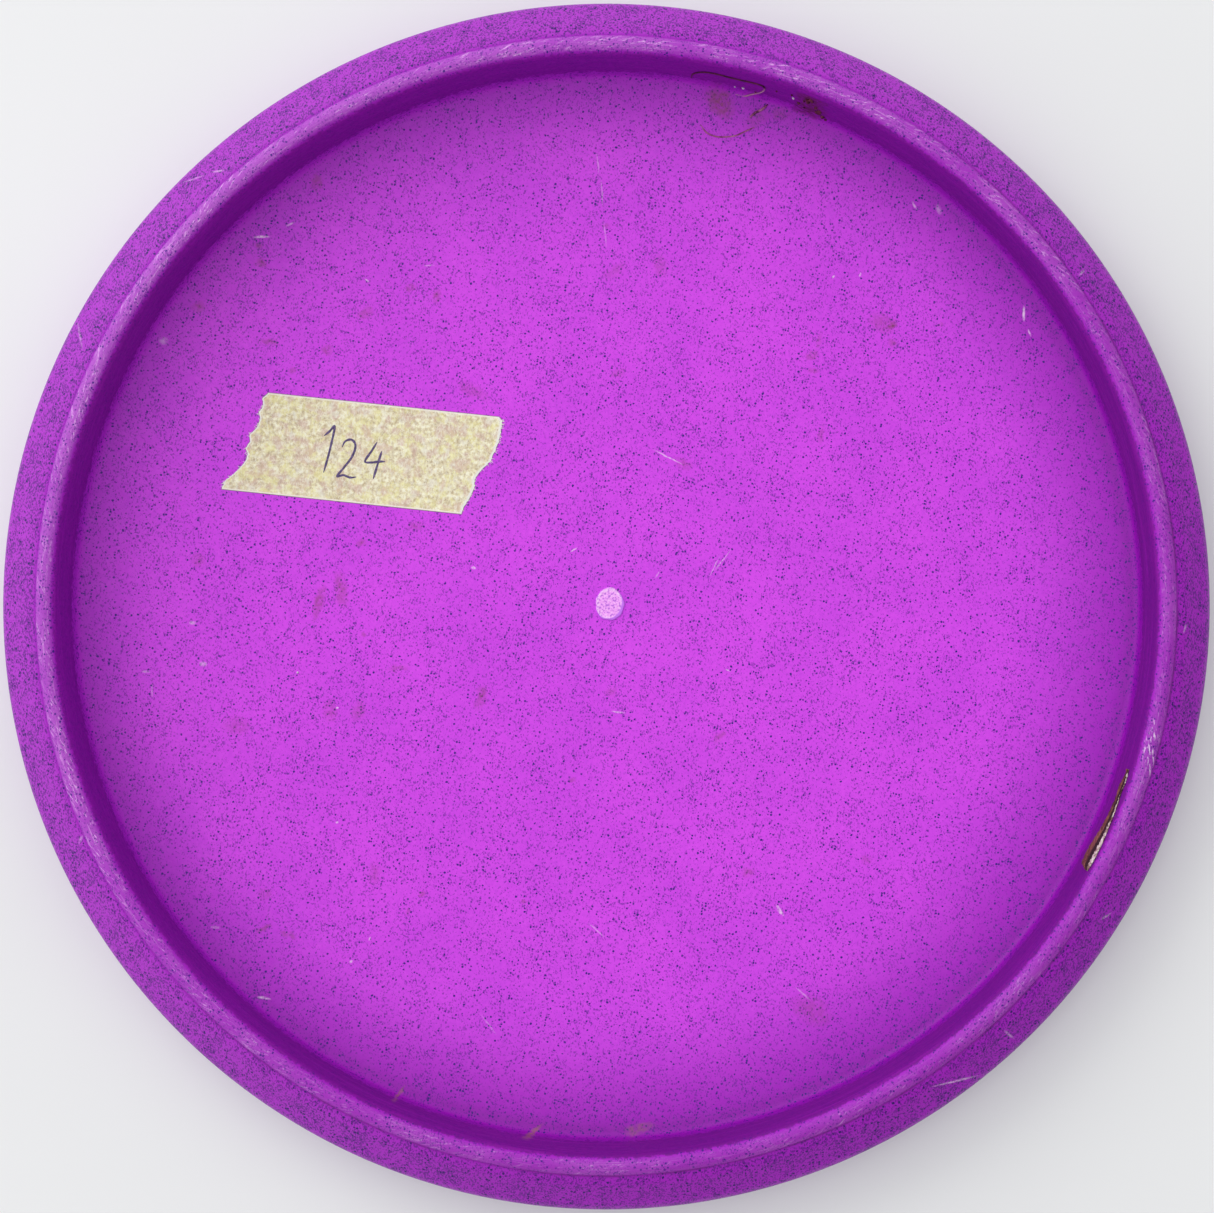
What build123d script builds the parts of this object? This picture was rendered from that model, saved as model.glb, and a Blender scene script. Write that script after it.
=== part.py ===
from build123d import *
from math import atan, cos, degrees, radians, sin
import os

# A golf putter disc, moulded in one piece, lying on its outer face with the hollow side up.
# A torn strip of masking tape is stuck to the underside of its flight plate.
# The origin is at the middle of the outer face, +Z is the spin axis, and sizes are in millimetres.

# Disc
disc_diameter = 212.0
disc_height = 18.8
rim_width = 10.85  # from the nose to the inner wall
plate_thickness = 2.3
flat_radius = 75.0  # the plate is flat out to here, and domes gently beyond it

# Nose and shoulder
nose_radius = 9.0  # of the shoulder, where it turns up to the nose

# Bead along the free edge of the rim
bead_radius = 1.9
bead_overhang = 1.8  # from the middle of the bead out to the crease beside it

# Lower rim, from the nose in to the crease: a round edge, a straight slope and a soft lip
edge_radius = 3.5
slope_angle = 36.0  # from level
lip_radius = 4.5
lip_angle = 6.0  # where the lip meets the bead, from level

# Underside of the plate
underside_rise = 2.2  # how far the dome lifts the plate at the wall
underside_angle = 9.0  # of the plate where it meets the wall, from level
corner_fillet = 1.4

# Gate mark, where the moulding was fed
gate_length = 5.9
gate_width = 5.1
gate_thickness = 0.2

# Tape
tape_width = 18.0
tape_thickness = 0.15
tape_centre = (-44.8, 27.2)
tape_turn = -5.9  # degrees, about the spin axis
tape_edge = tape_width / 2
# Each torn end runs from edge to edge: (along the tape, across the tape) from its middle
left_tear = [
    (-17.7, tape_edge),
    (-18.4, 6.6),
    (-20.1, 1.2),
    (-20.0, -2.3),
    (-21.1, -4.6),
    (-23.7, -7.4),
    (-24.1, -tape_edge),
]
right_tear = [
    (19.0, -tape_edge),
    (20.9, -3.6),
    (22.0, -0.5),
    (23.2, 0.8),
    (24.3, 4.4),
    (24.6, 8.3),
    (24.0, tape_edge),
]

disc_radius = disc_diameter / 2
inner_radius = disc_radius - rim_width
bead_centre_radius = inner_radius + bead_radius
bead_centre_height = disc_height - bead_radius
crease_radius = bead_centre_radius + bead_overhang
crease_height = bead_centre_height + (bead_radius**2 - bead_overhang**2) ** 0.5

# The slope fills what the two arcs leave between the nose and the crease, and so sets the nose's height
slope_sine, slope_cosine = sin(radians(slope_angle)), cos(radians(slope_angle))
lip_reach = lip_radius * (slope_sine - sin(radians(lip_angle)))
lip_drop = lip_radius * (cos(radians(lip_angle)) - slope_cosine)
slope_length = (disc_radius - edge_radius * (1 - slope_sine) - lip_reach - crease_radius) / slope_cosine
nose_height = crease_height - lip_drop - slope_length * slope_sine - edge_radius * slope_cosine

# The plate leaves the level by a small angle before the nose radius takes over. This angle makes
# the two arcs meet in one tangent and end upright at the nose.
shoulder_angle = 2 * atan((nose_height - nose_radius) / (disc_radius - flat_radius - nose_radius))
shoulder_radius = (disc_radius - flat_radius - nose_radius) / sin(shoulder_angle) + nose_radius

underside_height = plate_thickness
corner_height = plate_thickness + underside_rise

os.makedirs("parts", exist_ok=True)

# Disc body: plate, shoulder, nose, rim and bead in one closed profile, turned about the spin axis
with BuildPart() as disc_body:
    with BuildSketch(Plane.XZ) as rim_section:
        with BuildLine() as rim_outline:
            outer_face = Line((0, 0), (flat_radius, 0))
            shoulder = JernArc(
                start=outer_face @ 1,
                tangent=(1, 0),
                radius=shoulder_radius,
                arc_size=degrees(shoulder_angle),
            )
            nose_curve = JernArc(
                start=shoulder @ 1,
                tangent=shoulder % 1,
                radius=nose_radius,
                arc_size=90 - degrees(shoulder_angle),
            )
            edge = JernArc(
                start=nose_curve @ 1,
                tangent=(0, 1),
                radius=edge_radius,
                arc_size=90 - slope_angle,
            )
            slope = PolarLine(edge @ 1, length=slope_length, angle=180 - slope_angle)
            lip = JernArc(
                start=slope @ 1,
                tangent=slope % 1,
                radius=lip_radius,
                arc_size=slope_angle - lip_angle,
            )
            bead = ThreePointArc(
                lip @ 1,
                (bead_centre_radius, disc_height),
                (inner_radius, bead_centre_height),
            )
            inner_wall = Line(bead @ 1, (inner_radius, corner_height))
            domed_underside = Spline(
                inner_wall @ 1,
                (flat_radius, underside_height),
                tangents=(Vector(-1, 0).rotate(Axis.Z, underside_angle), (-1, 0)),
            )
            flat_underside = Line(domed_underside @ 1, (0, underside_height))
            Line(flat_underside @ 1, (0, 0))
        make_face()
        inside_corner = rim_section.vertices().sort_by_distance((inner_radius, corner_height))[0]
        fillet(inside_corner, radius=corner_fillet)
    revolve(axis=Axis.Z)
    # The gate mark is a thin raised oval at the middle of the underside
    with BuildSketch(Plane.XY.offset(underside_height)):
        Ellipse(gate_width / 2, gate_length / 2)
    extrude(amount=gate_thickness)

disc_body.part.label = "disc_body"
export_step(disc_body.part, "parts/disc_body.step")

# Tape label: straight factory edges, ragged torn ends
tape_plane = Plane(
    origin=(tape_centre[0], tape_centre[1], underside_height),
    x_dir=Vector(1, 0, 0).rotate(Axis.Z, tape_turn),
    z_dir=(0, 0, 1),
)

with BuildPart() as tape_label:
    with BuildSketch(tape_plane):
        with BuildLine():
            Polyline(*left_tear, *right_tear, close=True)
        make_face()
    extrude(amount=tape_thickness)

tape_label.part.label = "tape_label"
export_step(tape_label.part, "parts/tape_label.step")

print(f"crease at radius {crease_radius:.2f}, height {crease_height:.2f}, nose at height {nose_height:.2f}")
print(f"shoulder arc of radius {shoulder_radius:.1f} through {degrees(shoulder_angle):.1f} degrees")
print(f"disc volume {disc_body.part.volume / 1000:.1f} cm3")
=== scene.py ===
"""The looks of a golf putter disc with a masking-tape label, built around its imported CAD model."""

import random
from math import atan, atan2, cos, hypot, pi, radians, sin

import bmesh
import bpy
from mathutils import Matrix, Vector, noise


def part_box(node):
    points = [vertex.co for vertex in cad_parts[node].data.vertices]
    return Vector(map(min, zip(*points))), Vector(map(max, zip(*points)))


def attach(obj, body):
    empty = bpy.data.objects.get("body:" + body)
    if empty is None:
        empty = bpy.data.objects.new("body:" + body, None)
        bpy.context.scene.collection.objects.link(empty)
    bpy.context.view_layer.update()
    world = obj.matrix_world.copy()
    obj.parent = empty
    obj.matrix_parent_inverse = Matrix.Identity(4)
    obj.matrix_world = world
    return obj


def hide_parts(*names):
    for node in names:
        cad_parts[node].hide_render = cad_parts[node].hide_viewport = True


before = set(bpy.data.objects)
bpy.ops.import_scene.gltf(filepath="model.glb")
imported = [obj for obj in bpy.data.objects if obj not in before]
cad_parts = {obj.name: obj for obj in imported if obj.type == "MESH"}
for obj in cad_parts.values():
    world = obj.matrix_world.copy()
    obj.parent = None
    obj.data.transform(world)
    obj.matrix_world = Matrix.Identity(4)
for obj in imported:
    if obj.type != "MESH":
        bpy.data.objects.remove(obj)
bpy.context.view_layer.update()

MM = 0.001
UP = Vector((0, 0, 1))

# -------- sizes, in metres
# The disc lies on its outer face, hollow side up, with +Z along its spin axis.
disc_low, disc_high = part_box("disc_body")
tape_low, tape_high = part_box("tape_label")
DISC_RADIUS = (disc_high.x - disc_low.x) / 2
DISC_HEIGHT = disc_high.z
PLATE_HEIGHT = tape_low.z  # of the flat middle of the plate's underside
TAPE_THICKNESS = tape_high.z - tape_low.z

# The rim's section, as in the CAD part
FLAT_RADIUS = 75.0 * MM
INNER_RADIUS = DISC_RADIUS - 10.85 * MM
NOSE_HEIGHT = 11.28 * MM  # where the CAD part's slope puts it
NOSE_RADIUS = 9.0 * MM
EDGE_RADIUS = 3.5 * MM
SLOPE_ANGLE = radians(36)
LIP_RADIUS = 4.5 * MM
LIP_ANGLE = radians(6)
BEAD_RADIUS = 1.9 * MM
BEAD_OVERHANG = 1.8 * MM
CORNER_HEIGHT = PLATE_HEIGHT + 2.2 * MM
CORNER_FILLET = 1.4 * MM
FILLET_RISE = 1.19 * MM  # of the fillet's centre above the corner
DOME_RISE = 2.0 * MM  # of the underside, up to where the fillet starts
DOME_POWER = 1.85
UNDERSIDE_ANGLE = radians(9)

BEAD_CENTRE = (INNER_RADIUS + BEAD_RADIUS, DISC_HEIGHT - BEAD_RADIUS)
CREASE_RADIUS = BEAD_CENTRE[0] + BEAD_OVERHANG

# The gate mark at the middle of the plate
GATE_LENGTH = 5.9 * MM
GATE_WIDTH = 5.2 * MM
GATE_RISE = 0.2 * MM

# The tape: its middle, its turn about the spin axis, its width and its torn ends,
# each as (along the tape, across the tape) from its middle
TAPE_CENTRE = Vector((-44.8, 27.2)) * MM
TAPE_TURN = radians(-5.9)
TAPE_WIDTH = 18.0 * MM
LEFT_TEAR = [
    (-24.1, -9.0), (-23.7, -7.4), (-22.4, -6.3), (-21.1, -4.6), (-20.4, -3.6), (-20.0, -2.3),
    (-20.6, -1.4), (-20.0, 0.0), (-20.1, 1.2), (-19.1, 2.4), (-18.6, 4.2), (-18.9, 5.3),
    (-18.4, 6.6), (-18.5, 8.0), (-17.7, 9.0),
]
RIGHT_TEAR = [
    (19.0, -9.0), (19.6, -7.1), (20.4, -5.7), (20.9, -3.6), (20.8, -2.4), (22.0, -0.5), (23.2, 0.8),
    (23.6, 2.1), (24.3, 4.4), (24.6, 6.8), (24.6, 8.3), (24.0, 9.0),
]


# -------- camera and light
CAMERA_PLACE = (0.0068, -0.0094, 0.400)
CAMERA_DIRECTION = (0.0146, 0.0226, -1.0)
FLOOR_HALF = 12.0
FLOOR_GAP = 0.05 * MM

# Level, towards the side where the sky is brightest
LIT_SIDE = (-0.78, 0.62, 0.0)


def add_object(name, data):
    """An object in the scene, made from its data."""
    made = bpy.data.objects.new(name, data)
    bpy.context.scene.collection.objects.link(made)
    return made


def add_camera():
    """The camera looks nearly straight down into the hollow, from just right of and below the middle."""
    camera_data = bpy.data.cameras.new("camera")
    camera = add_object("camera", camera_data)
    forward = Vector(CAMERA_DIRECTION).normalized()
    right = forward.cross(Vector((0, 1, 0))).normalized()
    up = right.cross(forward)
    turned = Matrix((right, up, -forward)).transposed().to_4x4()
    camera.matrix_world = Matrix.Translation(CAMERA_PLACE) @ turned
    camera_data.sensor_width = 36.0
    camera_data.lens = 65.5
    camera_data.shift_x = -0.06
    camera_data.clip_start = 0.01
    bpy.context.scene.camera = camera


def add_area_light(name, place, size, power, colour):
    """A soft box of a given side, in metres, aimed at the disc."""
    light = bpy.data.lights.new(name, "AREA")
    light.shape = "SQUARE"
    light.size = size
    light.energy = power
    light.color = colour
    lamp = add_object(name, light)
    lamp.location = place
    lamp.rotation_euler = (-Vector(place)).to_track_quat("-Z", "Y").to_euler()


def add_sky():
    """A pale sky, brightest towards the left and the far side and dim on the side across from it."""
    world = bpy.data.worlds.new("sky")
    world.use_nodes = True
    nodes, links = world.node_tree.nodes, world.node_tree.links
    direction = nodes.new("ShaderNodeTexCoord")
    share = nodes.new("ShaderNodeVectorMath")
    share.operation = "DOT_PRODUCT"
    share.inputs[1].default_value = LIT_SIDE
    strength = nodes.new("ShaderNodeMapRange")
    for name, value in (("From Min", -1.0), ("From Max", 1.0), ("To Min", 0.32), ("To Max", 1.28)):
        strength.inputs[name].default_value = value
    links.new(direction.outputs["Generated"], share.inputs[0])
    links.new(share.outputs["Value"], strength.inputs["Value"])
    links.new(strength.outputs["Result"], nodes["Background"].inputs["Strength"])
    nodes["Background"].inputs["Color"].default_value = (0.97, 0.985, 1.0, 1.0)
    bpy.context.scene.world = world


def add_lights():
    """The sky, a soft box from the left and the far side, and a weaker one overhead."""
    add_sky()
    add_area_light("key_light", (-0.90, 0.90, 0.85), 1.0, 5.0, (1.0, 0.985, 0.96))
    add_area_light("overhead_light", (-0.10, 0.10, 1.6), 0.9, 2.5, (1.0, 1.0, 1.0))


def add_floor():
    """A plain pale floor, just under the disc."""
    corners = [(FLOOR_HALF * x, FLOOR_HALF * y, 0) for x, y in ((-1, -1), (1, -1), (1, 1), (-1, 1))]
    s = Shader("floor_paint", roughness=0.7)
    pale = s.ramp(s.noise(s.place(), 6.0, detail=3.0), [(0.3, (0.84, 0.84, 0.84)), (0.7, (0.88, 0.88, 0.88))])
    s.links.new(pale, s.surface.inputs["Base Color"])
    floor = add_mesh("floor", corners, [(0, 1, 2, 3)], s.material)
    floor.location.z = -FLOOR_GAP


# -------- mesh helpers
def add_mesh(name, points, faces, material, **painted):
    """A mesh object, shaded smooth, with numbers painted on its points for the material to read by name."""
    mesh = bpy.data.meshes.new(name)
    mesh.from_pydata([tuple(p) for p in points], [], faces)
    mesh.update()
    mesh.polygons.foreach_set("use_smooth", [True] * len(mesh.polygons))
    mesh.materials.append(material)
    for attribute, values in painted.items():
        mesh.attributes.new(attribute, "FLOAT", "POINT").data.foreach_set("value", values)
    return add_object(name, mesh)


def ring_quads(rings, count, first=0):
    """The four-sided faces between rings of points that follow one another."""
    starts = [first + ring * count for ring in range(rings - 1)]
    pairs = [(start + i, start + (i + 1) % count) for start in starts for i in range(count)]
    return [(a, b, b + count, a + count) for a, b in pairs]


def end_caps(rings, count, first=0):
    """A face over the first ring and one over the last."""
    last = first + (rings - 1) * count
    return [tuple(reversed(range(first, first + count))), tuple(range(last, last + count))]


def mixed(a, b, share):
    """The number that lies that share of the way from a to b."""
    return a + (b - a) * share


def eased(low, high, value):
    """0 up to low, 1 from high on, and an S curve between."""
    share = min(max((value - low) / (high - low), 0.0), 1.0)
    return share * share * (3 - 2 * share)


def along(route, value):
    """The number that a route, a rising list of (place, number), has at a place."""
    if value <= route[0][0]:
        return route[0][1]
    for (place_a, number_a), (place_b, number_b) in zip(route, route[1:]):
        if value <= place_b:
            return mixed(number_a, number_b, (value - place_a) / (place_b - place_a))
    return route[-1][1]


def rough(x, y, z, seed=0.0):
    """Smooth noise between -1 and 1."""
    return noise.noise(Vector((x + seed * 17.3, y - seed * 9.1, z + seed * 5.7)))


# -------- shader helpers
class Shader:
    """A material with short calls for the nodes that this scene needs."""

    def __init__(self, name, roughness, specular=0.5):
        self.material = bpy.data.materials.new(name)
        self.material.use_nodes = True
        self.nodes = self.material.node_tree.nodes
        self.links = self.material.node_tree.links
        self.surface = self.nodes["Principled BSDF"]
        self.surface.inputs["Roughness"].default_value = roughness
        self.surface.inputs["Specular IOR Level"].default_value = specular

    def node(self, kind, inputs=None, **settings):
        """A shader node of that kind; each input is a value or another node's output."""
        made = self.nodes.new("ShaderNode" + kind)
        for name, value in settings.items():
            setattr(made, name, value)
        for name, value in (inputs or {}).items():
            if isinstance(value, bpy.types.NodeSocket):
                self.links.new(value, made.inputs[name])
            else:
                made.inputs[name].default_value = value
        return made

    def place(self):
        """The point of the surface, in metres in the part's own frame."""
        return self.node("TexCoord").outputs["Object"]

    def turned(self, vector, turn=(0, 0, 0), scale=(1, 1, 1), shift=(0, 0, 0)):
        """The same points, scaled, turned and shifted."""
        inputs = {"Vector": vector, "Rotation": turn, "Scale": scale, "Location": shift}
        return self.node("Mapping", inputs).outputs["Vector"]

    def math(self, operation, a, b=0.0, c=0.0):
        """One step of arithmetic on numbers or other nodes' outputs."""
        return self.node("Math", {0: a, 1: b, 2: c}, operation=operation).outputs[0]

    def vector_math(self, operation, a, b=(0, 0, 0), scale=1.0):
        """One step of arithmetic on points or directions."""
        inputs = {0: a, "Scale": scale} if operation == "SCALE" else {0: a, 1: b}
        made = self.node("VectorMath", inputs, operation=operation)
        return made.outputs["Value" if operation in ("DISTANCE", "DOT_PRODUCT", "LENGTH") else "Vector"]

    def noise(self, vector, scale, detail=2.0, roughness=0.5, output="Fac"):
        """Soft noise with that many features to the metre."""
        inputs = {"Vector": vector, "Scale": scale, "Detail": detail, "Roughness": roughness}
        return self.node("TexNoise", inputs).outputs[output]

    def cells(self, vector, scale):
        """Scattered cells, each with a colour of its own and a distance from its middle."""
        return self.node("TexVoronoi", {"Vector": vector, "Scale": scale})

    def warped(self, vector, scale, reach):
        """The same points, pushed about by up to that reach, in metres."""
        push = self.noise(vector, scale, output="Color")
        centred = self.vector_math("SUBTRACT", push, (0.5, 0.5, 0.5))
        return self.vector_math("ADD", vector, self.vector_math("SCALE", centred, scale=2 * reach))

    def span(self, value, low, high, to_low=0.0, to_high=1.0):
        """A value between low and high, eased to run between the two numbers given."""
        inputs = {"Value": value, "From Min": low, "From Max": high, "To Min": to_low, "To Max": to_high}
        return self.node("MapRange", inputs, interpolation_type="SMOOTHSTEP").outputs["Result"]

    def both(self, *values):
        """The product of several masks."""
        product = values[0]
        for value in values[1:]:
            product = self.math("MULTIPLY", product, value)
        return product

    def attribute(self, name):
        """A number that was painted on the mesh."""
        return self.node("Attribute", attribute_name=name).outputs["Fac"]

    def ramp(self, value, stops):
        """A colour from a value, by stops of (value, colour)."""
        made = self.node("ValToRGB", {"Fac": value})
        band = made.color_ramp
        while len(band.elements) < len(stops):
            band.elements.new(0.5)
        for element, (position, colour) in zip(band.elements, stops):
            element.position = position
            element.color = (*colour, 1.0)
        return made.outputs["Color"]

    def mix(self, share, a, b):
        """Two colours mixed by a share between 0 and 1."""
        first, second = ((*colour, 1.0) if isinstance(colour, tuple) else colour for colour in (a, b))
        return self.node("Mix", {"Factor": share, 6: first, 7: second}, data_type="RGBA").outputs[2]

    def made(self, colour, height, distance):
        """The finished material: its colour, and bumps whose height is a share of a distance."""
        bump = self.node("Bump", {"Height": height, "Distance": distance, "Strength": 1.0})
        self.links.new(colour, self.surface.inputs["Base Color"])
        self.links.new(bump.outputs["Normal"], self.surface.inputs["Normal"])
        return self.material


# -------- the disc's plastic
TINT = (0.70, 0.056, 0.85)
TINT_DEEP = (0.64, 0.047, 0.81)
# Partly painted shade: the rim's deeper tint
RIM_TINT_AND_SHADE = (0.365, 0.0035, 0.50)
# Partly painted shade: the wall's darker tint, also painted on the bead's shaded side
WALL_TINT_AND_SHADE = (0.28, 0.001, 0.375)
# Painted shade: the wall's shaded side and the corner where the plate meets the wall
WALL_PAINTED_SHADE = (0.185, 0.001, 0.255)
FLECK = (0.030, 0.002, 0.21)
RIM_FLECK = (0.022, 0.001, 0.13)
HAZE = (0.24, 0.03, 0.52)
# Pale wear, and a painted highlight on the bead's lit side
SCUFF_AND_HIGHLIGHT = (0.80, 0.42, 0.86)
SOIL = (0.27, 0.045, 0.13)
BRIGHT_GRAIN = (0.82, 0.10, 0.92)
WALL_GRAIN = (0.13, 0.001, 0.20)
WALL_STREAK = (0.42, 0.012, 0.50)
# Painted light on the slope's lit side
SLOPE_PAINTED_LIGHT = (0.78, 0.16, 0.92)
CHIP_PALE = (0.92, 0.70, 0.92)
SCRATCH_PALE = (0.90, 0.62, 0.92)
# Grime and painted shade in the crease
CREASE_GRIME_AND_SHADE = (0.10, 0.006, 0.12)
MUD_STAIN = (0.12, 0.012, 0.05)
DUST = (0.34, 0.12, 0.15)
GATE_PINK = (0.93, 0.36, 0.97)
GATE_SPECK = (0.36, 0.09, 0.66)
GATE_BRIGHT = (0.98, 0.62, 1.0)
GATE_SHADE = (0.56, 0.16, 0.86)

# The plate's marks are listed a little too close together. This share spreads them about that middle, in mm.
PLATE_MARK_SPREAD = 1.0232
PLATE_MARK_MIDDLE = (6.9, -9.5)

# Brown smudges on the plate's underside: (x, y, length, width, turn, strength), in mm and degrees
SMUDGES = [
    (50, 49, 2.4, 2.2, 0, 0.75), (48.5, 49.5, 6.0, 4.0, -30, 0.4), (50, 46, 1.8, 1.4, 0, 0.5),
    (36, 44, 2.8, 2.0, 30, 0.55), (36, 41, 1.9, 1.5, 0, 0.5), (37, 46.5, 3.2, 1.2, 75, 0.35),
    (58.5, 49, 1.4, 1.1, 0, 0.4), (37.5, 30, 4.0, 1.3, 85, 0.3), (13, 24.5, 4.0, 2.2, -20, 0.4),
    (-51, 0, 8.0, 2.0, 73, 0.6), (-47, 2.4, 7.4, 2.7, 99, 0.55), (-43.5, 10.5, 2.2, 1.5, 0, 0.55),
    (-43, -5.5, 1.4, 1.1, 0, 0.45), (-37, -11.5, 4.6, 1.5, 5, 0.4), (-65, -21.5, 5.5, 4.2, 0, 0.3),
    (-49, -19, 4.8, 3.0, 90, 0.35), (-44, -19, 5.2, 3.0, 70, 0.35), (-72, 7.5, 3.0, 2.6, 0, 0.35),
    (-34, 13.5, 3.6, 2.2, 0, 0.35), (-51.5, 74, 3.6, 2.4, 80, 0.5), (-61, 59.5, 2.4, 2.1, 0, 0.5),
    (-61.5, 62.5, 1.8, 1.4, 0, 0.45), (-72, 52, 2.8, 2.4, 0, 0.5), (-60, 46, 4.2, 1.6, 0, 0.45),
    (-49.5, 44.5, 2.2, 1.9, 0, 0.5), (-55.5, 41, 2.0, 1.5, 0, 0.4), (-43, 51, 3.6, 2.2, 30, 0.45),
    (-35, 55.5, 2.2, 1.8, 0, 0.5), (-30.5, 54, 2.8, 1.9, 70, 0.5), (-24, 37.5, 7.0, 3.0, -30, 0.3),
    (9, 59.5, 4.2, 3.2, 100, 0.3), (1, 58.5, 5.5, 2.6, 40, 0.25), (-0.5, 66.5, 1.6, 1.3, 0, 0.4),
    (1.5, 40.5, 3.4, 1.8, 30, 0.3), (-22.5, -16.5, 5.6, 2.4, 70, 0.55), (0.5, -15.5, 2.6, 2.2, 0, 0.3),
    (19.5, -23.5, 3.6, 1.7, 40, 0.4), (-6.5, -31, 1.5, 1.3, 0, 0.4), (-32.5, -51, 2.0, 1.3, 40, 0.55),
    (-15, -52.5, 1.4, 1.1, 0, 0.45), (24.5, -47.5, 2.4, 2.1, 0, 0.4), (-35, -54, 1.6, 1.0, 70, 0.4),
    (-60.3, -57, 3.4, 1.1, 20, 0.55), (-56, -58.2, 4.2, 1.1, -33, 0.5), (-60, -51, 3.0, 2.6, 0, 0.3),
    (-41, -47.5, 4.2, 3.0, 90, 0.3), (35.5, -71.5, 9.0, 5.5, -30, 0.35), (45.5, -45, 2.4, 2.0, 0, 0.3),
]

# The same for smudges beside the dirt at the foot of the wall, where they lie
WALL_FOOT_SMUDGES = [
    (20, 90.5, 7.5, 4.5, -50, 0.8), (31, 88.5, 4.0, 3.0, 0, 0.35), (26.5, 87.5, 6.0, 3.0, 20, 0.3),
]

# Pale scratches: (x, y, length, width, turn, strength)
SCRATCHES = [
    (-61, 64.2, 3.2, 0.5, 6, 1.0), (-56, 66.5, 1.8, 0.4, 25, 0.7), (-42.7, 56.8, 0.9, 0.4, -40, 0.8),
    (-78, 45.8, 2.0, 1.6, 0, 0.4), (-31.8, 59.5, 2.2, 0.3, 5, 0.5), (-2, 77.7, 4.2, 0.4, 94, 0.35),
    (-1.3, 72.5, 5.2, 0.35, 94, 0.35), (-0.7, 65, 5.2, 0.35, 95, 0.35), (73.1, 51, 3.2, 0.55, 90, 1.0),
    (74.1, 47.7, 1.7, 0.4, -75, 0.7), (53.9, 70.1, 2.0, 0.45, -62, 0.6), (58.1, 69.4, 2.2, 1.2, -70, 0.35),
    (39.6, 57.8, 0.9, 0.4, 50, 0.7), (44.4, 58.1, 0.9, 0.4, 60, 0.7), (10.5, 25.7, 6.4, 0.35, -27, 0.7),
    (20, 7.5, 5.5, 0.3, 52, 0.5), (-23.8, 6.2, 1.0, 0.6, -20, 0.9), (-79.9, -15.5, 2.8, 0.35, 90, 0.4),
    (-54.6, -12.2, 0.6, 0.5, 0, 1.0), (-47.6, -18.4, 0.6, 0.5, 0, 1.0), (-47.6, -38.5, 0.7, 0.5, 0, 1.0),
    (-73, -3.5, 1.5, 0.8, 0, 0.45), (-71.2, -10.7, 1.6, 1.1, 0, 0.45), (-81, -12.1, 1.6, 0.6, 0, 0.45),
    (1.7, -19.2, 2.9, 0.35, -8, 0.8), (-2.2, -57.4, 4.2, 0.35, -43, 0.45), (21, -11.9, 1.1, 0.3, -30, 0.6),
    (-59.9, -68.8, 2.8, 0.6, -13, 0.9), (-68.5, -56.6, 1.9, 0.6, 0, 0.45), (-41.8, -58.8, 0.9, 0.4, 60, 0.7),
    (-45, -62.8, 0.9, 0.6, 50, 0.8), (-21, -73.8, 5.0, 0.4, -52, 0.3), (30.1, -54, 2.6, 0.8, -58, 0.9),
    (34, -68.5, 4.0, 0.4, -40, 0.35), (74.6, -62.5, 0.9, 0.6, 0, 0.8), (8.5, 5, 1.5, 0.3, 60, 0.6),
    (-6.2, 9.4, 1.6, 0.35, 30, 0.8), (18.6, 6.4, 4.6, 0.25, 64, 0.5),
]

# The same for scratches on the rim's lower slope, where they lie
RIM_SCRATCHES = [
    (60.2, -83.1, 9.5, 0.5, 9, 0.9), (-92, 46.4, 6.2, 0.5, 106, 0.4), (-67.9, 74.9, 2.6, 0.5, 4, 0.7),
    (-72.5, 74, 4.6, 0.5, 12, 0.5), (69.6, -75, 3.0, 0.6, -40, 0.5), (86.6, -54.6, 2.6, 0.5, 30, 0.5),
    (82.5, 57.6, 2.0, 0.6, 40, 0.5), (-90.8, -41, 2.0, 0.6, 60, 0.5), (100.3, -4.6, 2.0, 0.5, 70, 0.5),
]

# A patch of pale chips on the bead, and mud and dust on the wall
BEAD_CHIPS = [(94.4, -25.9, 15, 5, 105, 1.0)]
WALL_MUD = [(35.9, 88.7, 7.5, 2.6, -22, 1.0)]
WALL_DUST = [
    (-37.6, -87.2, 4.0, 0.8, 52, 0.8), (-14, -94, 5.5, 1.1, 37, 0.9), (5.4, -93.6, 6.5, 2.2, 12, 0.6),
]

# The pale part of the gate mark, which is violet beyond it
GATE_PALE = [(-0.2, 0.3, 6.0, 4.9, 80, 6.0)]


def flat_place(s, place):
    """The point seen from above, with 1 in place of its height."""
    split = s.node("SeparateXYZ", {"Vector": place}).outputs
    return s.node("CombineXYZ", {"X": split["X"], "Y": split["Y"], "Z": 1.0}).outputs["Vector"]


def mark(s, flat, x, y, length, width, turn):
    """An oval mark seen from above: 0 at its middle, and 1 at its outline."""
    lengthwise = Vector((cos(radians(turn)), sin(radians(turn)))) * 2 / (length * MM)
    crosswise = Vector((-sin(radians(turn)), cos(radians(turn)))) * 2 / (width * MM)
    middle = Vector((x, y)) * MM
    a = s.vector_math("DOT_PRODUCT", flat, (*lengthwise, -lengthwise.dot(middle)))
    b = s.vector_math("DOT_PRODUCT", flat, (*crosswise, -crosswise.dot(middle)))
    return s.math("MULTIPLY_ADD", a, a, s.math("MULTIPLY", b, b))


def marks(s, place, rows):
    """The strongest of several oval marks at each point, each falling to 0 at its outline."""
    flat = flat_place(s, place)
    strongest = 0.0
    for *shape, strength in rows:
        shown = s.math("MULTIPLY_ADD", mark(s, flat, *shape), -strength, strength)
        strongest = s.math("MAXIMUM", shown, strongest)
    return strongest


def spread_out(rows):
    """The marks on the plate, moved to where they lie."""
    middle_x, middle_y = PLATE_MARK_MIDDLE
    share = PLATE_MARK_SPREAD
    return [(mixed(middle_x, x, share), mixed(middle_y, y, share), *shape) for x, y, *shape in rows]


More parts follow.
